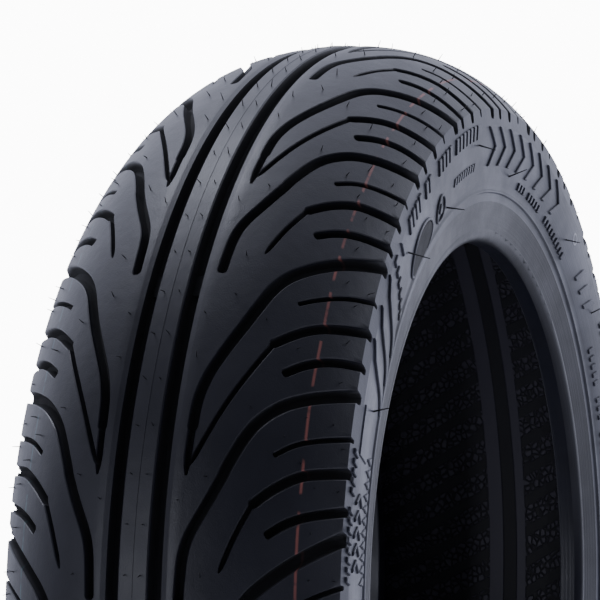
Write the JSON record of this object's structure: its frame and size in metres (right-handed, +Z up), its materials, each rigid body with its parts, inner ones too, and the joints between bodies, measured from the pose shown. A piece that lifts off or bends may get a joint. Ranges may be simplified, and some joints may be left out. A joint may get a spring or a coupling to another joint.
{
  "type": "motorcycle tire",
  "caption": "Tubeless motorcycle tire with a rounded crown, long central grooves, V-shaped side grooves and a layered carcass with wire beads.",
  "frame": {"origin": "centre of the wheel, on the axis and on the middle plane of the tread", "axes": "+Y along the wheel axis, out of the left bead; +Z up; the tire turns about Y"},
  "size_m": [0.48, 0.1348, 0.4799],
  "materials": {
    "tread_rubber": "matte, slightly blue-black, new and unworn",
    "sidewall_rubber": "satin moulded rubber, a little greyer than the tread",
    "rim_rubber": "smooth satin",
    "liner_rubber": "matte with a moulded bladder pattern",
    "base_rubber": "matte, hidden",
    "filler_rubber": "hard, matte, hidden",
    "cord_fabric": "rubber-coated nylon cord, hidden",
    "woven_chafer": "rubber-coated woven fabric, hidden",
    "bead_wire": "bronze-coated steel wire, hidden"
  },
  "bodies": {
    "root": {"tread": "tread_rubber", "tread_base": "base_rubber", "breaker_ply_outer": "cord_fabric", "breaker_ply_inner": "cord_fabric", "carcass_ply_outer": "cord_fabric", "carcass_ply_inner": "cord_fabric", "inner_liner": "liner_rubber", "sidewall_left": "sidewall_rubber", "shoulder_wedge_left": "base_rubber", "rim_strip_left": "rim_rubber", "chafer_left": "woven_chafer", "bead_flipper_left": "cord_fabric", "bead_filler_left": "filler_rubber", "bead_insulation_left": "filler_rubber", "bead_wires_left": "bead_wire", "sidewall_right": "sidewall_rubber", "shoulder_wedge_right": "base_rubber", "rim_strip_right": "rim_rubber", "chafer_right": "woven_chafer", "bead_flipper_right": "cord_fabric", "bead_filler_right": "filler_rubber", "bead_insulation_right": "filler_rubber", "bead_wires_right": "bead_wire"}
  },
  "joints": []
}
